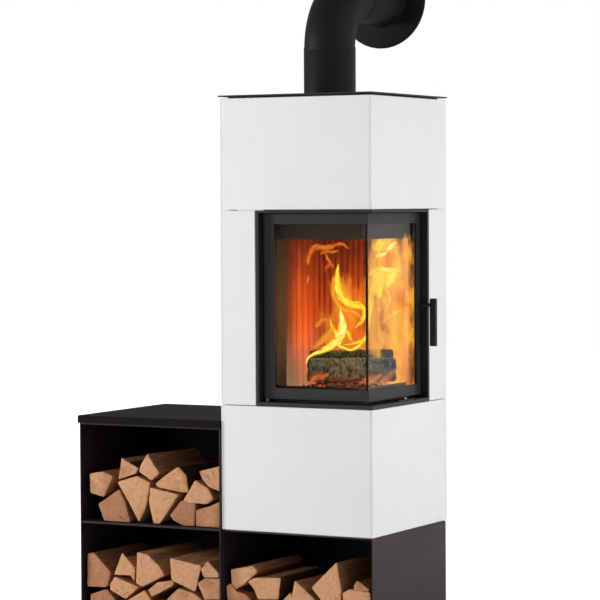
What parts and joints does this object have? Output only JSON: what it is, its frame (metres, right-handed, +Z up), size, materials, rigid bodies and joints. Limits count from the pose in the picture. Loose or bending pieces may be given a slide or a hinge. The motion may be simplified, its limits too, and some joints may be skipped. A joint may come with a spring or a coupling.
{
  "type": "tiled stove",
  "caption": "Tall tiled wood stove with a corner glass door, a log bench beside it, log bays and a flue pipe that bends into the wall.",
  "frame": {"origin": "on the floor, under the middle of the tiled column", "axes": "+Z up; the front with the log bays faces -Y; the bench lies to -X; the wall that the flue enters lies to +Y"},
  "size_m": [1.0304, 0.6085, 2.032],
  "materials": {
    "tile_glaze": "satin white glaze, nearly plain, with soft rounded arrises",
    "black_steel": "matt anthracite heat-proof paint on steel",
    "box_steel": "matt warm black powder coat on sheet",
    "bench_slab": "matt brown-black slab",
    "flue_paint": "matt grey-black heat-proof paint",
    "zinc_steel": "zinc-plated steel",
    "bright_steel": "polished turned steel",
    "fire_steel": "heat-tanned dark olive-brown steel",
    "cast_iron": "rough cast, sooted",
    "lining": "matt fluted fireclay board, glowing warm in the firelight",
    "seal_rope": "braided glass-fibre rope, dark grey",
    "glass": "clear heat-proof glass",
    "firewood": "split firewood: pale sawn ends, brown split sides and bark",
    "charred_wood": "ashy grey-green charred wood with cracks",
    "ember": "glowing embers and charcoal"
  },
  "bodies": {
    "root": {"plinth_box_shell": "box_steel", "plinth_box_back": "box_steel", "bench_lower_shell": "box_steel", "bench_lower_back": "box_steel", "bench_upper_shell": "box_steel", "bench_upper_back": "box_steel", "bench_top": "bench_slab", "tile_front_lower": "tile_glaze", "tile_front_mid": "tile_glaze", "tile_front_upper": "tile_glaze", "tile_left_lower": "tile_glaze", "tile_left_mid": "tile_glaze", "tile_left_upper": "tile_glaze", "tile_right_lower": "tile_glaze", "tile_right_mid": "tile_glaze", "tile_right_upper": "tile_glaze", "carrier_frame": "zinc_steel", "rear_panel": "black_steel", "top_spacer": "black_steel", "top_plate": "black_steel", "firebox_body": "fire_steel", "hearth": "lining", "grate": "cast_iron", "ash_pan": "zinc_steel", "lining_side": "lining", "lining_back": "lining", "baffle": "lining", "air_wash_lintel": "fire_steel", "flue_collar": "fire_steel", "door_surround": "black_steel", "latch_keeper": "zinc_steel", "hinge_pin_lower": "bright_steel", "hinge_pin_upper": "bright_steel", "flue_pipe": "flue_paint", "flue_elbow": "flue_paint", "flue_wall_pipe": "flue_paint", "wall_rosette": "flue_paint", "logs_bench_upper": "firewood", "logs_bench_lower": "firewood", "logs_plinth": "firewood", "ember_bed": "ember", "burning_log": "charred_wood"},
    "door": {"door_frame": "black_steel", "glass_front": "glass", "glass_side": "glass", "glass_retainer": "black_steel", "glass_corner_bead": "seal_rope", "door_seal": "seal_rope", "handle_escutcheon": "black_steel"},
    "handle": {"handle_stem": "black_steel", "handle_grip": "black_steel", "latch_cam": "zinc_steel"},
    "air_control": {"air_slide_bar": "black_steel", "air_slide_knob": "bright_steel"}
  },
  "joints": [
    {"name": "door_hinge", "type": "hinge", "parent": "root", "child": "door", "pos_m": [-0.109, -0.221, 0.9625], "axis": [0, 0, 1], "range_deg": [-95, 0]},
    {"name": "handle_turn", "type": "hinge", "parent": "door", "child": "handle", "pos_m": [0.227, 0.107, 0.958], "axis": [-1, 0, 0], "range_deg": [0, 60]},
    {"name": "air_slide", "type": "slide", "parent": "root", "child": "air_control", "axis": [0, 1, 0], "range_m": [-0.03, 0.03]}
  ]
}
